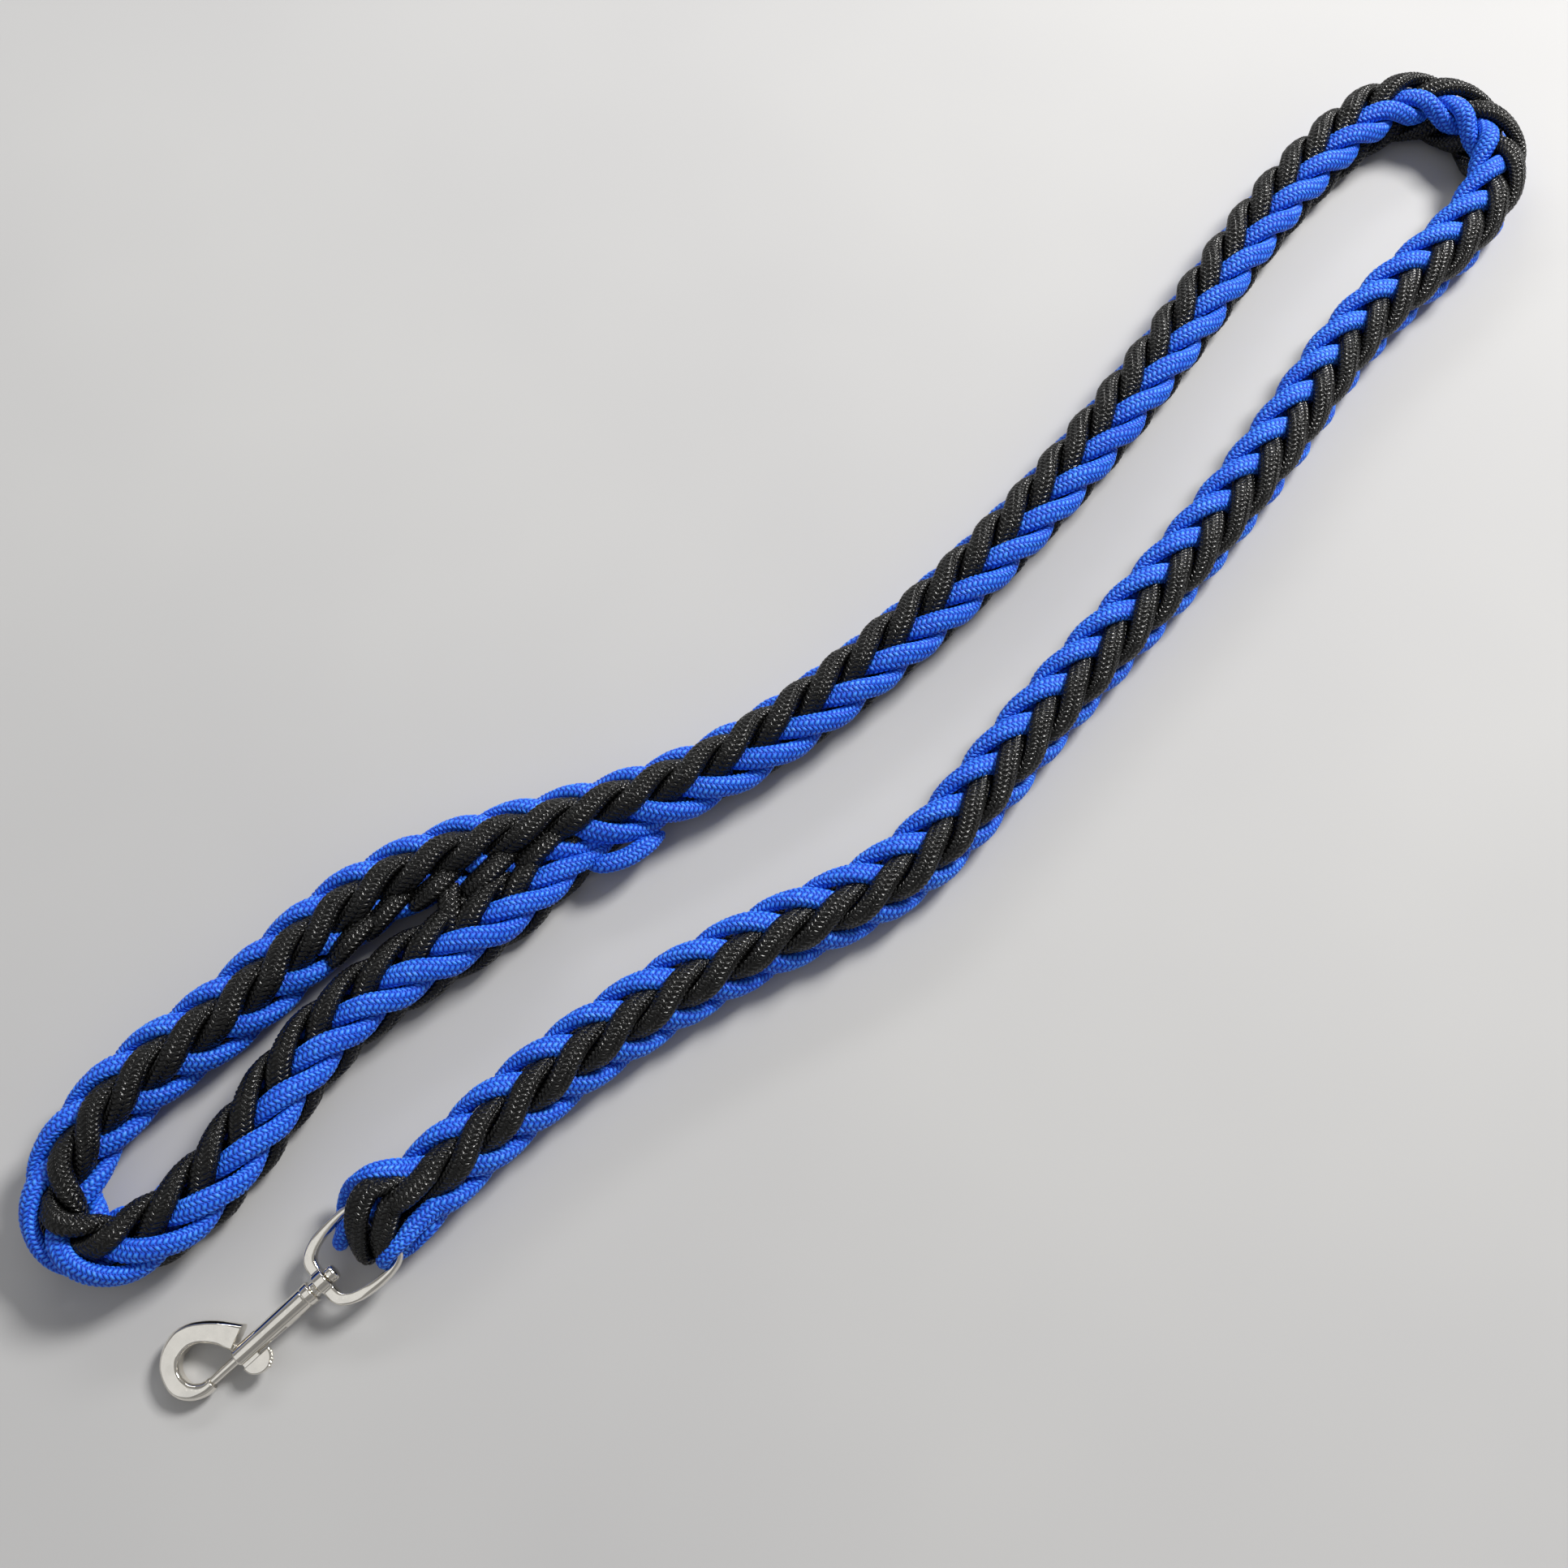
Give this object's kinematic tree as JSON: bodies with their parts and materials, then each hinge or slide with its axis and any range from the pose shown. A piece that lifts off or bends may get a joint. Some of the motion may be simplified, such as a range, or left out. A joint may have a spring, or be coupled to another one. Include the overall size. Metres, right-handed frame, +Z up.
{
  "type": "braided cord lead",
  "caption": "Braided two-colour cord lead laid in a bend: spliced hand loop at one end, swivel eye and spring-loaded trigger snap at the other.",
  "frame": {"origin": "middle of the laid-out lead's footprint, on the surface it lies on", "axes": "+Z up, away from that surface; +X and +Y in its plane, with the lead's wide bend towards +X +Y and its hand loop and snap towards -X -Y"},
  "size_m": [0.6153, 0.5824, 0.0269],
  "materials": {
    "black_cord": "braided polypropylene sheath, slightly glossy filament",
    "blue_cord": "braided polypropylene sheath, satin",
    "chrome_plate": "polished bright nickel or chrome plate on die-cast zinc",
    "spring_steel": "drawn spring wire"
  },
  "bodies": {
    "lead_main": {"main_leg_cord_black_1": "black_cord", "main_leg_cord_black_2": "black_cord", "main_leg_cord_black_3": "black_cord", "main_leg_cord_black_4": "black_cord", "main_leg_cord_blue_1": "blue_cord", "main_leg_cord_blue_2": "blue_cord", "main_leg_cord_blue_3": "blue_cord", "main_leg_cord_blue_4": "blue_cord", "splice_tail_black_1": "black_cord", "splice_tail_black_2": "black_cord", "splice_tail_black_3": "black_cord", "splice_tail_black_4": "black_cord", "splice_tail_blue_1": "blue_cord", "splice_tail_blue_2": "blue_cord", "splice_tail_blue_3": "blue_cord", "splice_tail_blue_4": "blue_cord"},
    "hand_loop": {"hand_loop_cord_black_1": "black_cord", "hand_loop_cord_black_2": "black_cord", "hand_loop_cord_black_3": "black_cord", "hand_loop_cord_black_4": "black_cord", "hand_loop_cord_blue_1": "blue_cord", "hand_loop_cord_blue_2": "blue_cord", "hand_loop_cord_blue_3": "blue_cord", "hand_loop_cord_blue_4": "blue_cord"},
    "free_leg": {"free_leg_cord_black_1": "black_cord", "free_leg_cord_black_2": "black_cord", "free_leg_cord_black_3": "black_cord", "free_leg_cord_black_4": "black_cord", "free_leg_cord_blue_1": "blue_cord", "free_leg_cord_blue_2": "blue_cord", "free_leg_cord_blue_3": "blue_cord", "free_leg_cord_blue_4": "blue_cord"},
    "clip_end": {"eye_cord_black_left": "black_cord", "eye_cord_black_right": "black_cord", "eye_cord_blue_left": "blue_cord", "eye_cord_blue_right": "blue_cord"},
    "swivel_eye": {"swivel_eye": "chrome_plate"},
    "snap_body": {"snap_body": "chrome_plate", "bolt_spring": "spring_steel"},
    "trigger_bolt": {"trigger_bolt": "chrome_plate"}
  },
  "joints": [
    {"name": "hand_loop_fold", "type": "hinge", "parent": "lead_main", "child": "hand_loop", "pos_m": [-0.2195, -0.1524, 0.0135], "axis": [-0.7604, 0.6494, 0], "range_deg": [0, 50]},
    {"name": "lead_bend", "type": "hinge", "parent": "lead_main", "child": "free_leg", "pos_m": [0.28498, 0.27032, 0.0135], "axis": [0, 0, 1], "range_deg": [0, 30]},
    {"name": "clip_end_lift", "type": "hinge", "parent": "free_leg", "child": "clip_end", "pos_m": [-0.09444, -0.15645, 0.0135], "axis": [-0.57, 0.8216, 0], "range_deg": [0, 45]},
    {"name": "eye_pivot", "type": "hinge", "parent": "clip_end", "child": "swivel_eye", "pos_m": [-0.17822, -0.23052, 0.0132], "axis": [-0.6691, 0.7431, 0], "range_deg": [0, 60]},
    {"name": "hook_swivel", "type": "hinge", "parent": "swivel_eye", "child": "snap_body", "pos_m": [-0.19817, -0.24848, 0.01028], "axis": [0.7388, 0.6652, 0.1082], "continuous": true},
    {"name": "bolt_slide", "type": "slide", "parent": "snap_body", "child": "trigger_bolt", "axis": [0.7388, 0.6652, 0.1082], "range_m": [0, 0.0118], "stiffness_N_per_m": 180, "springref_m": -0.006, "deforming": ["bolt_spring"]}
  ]
}
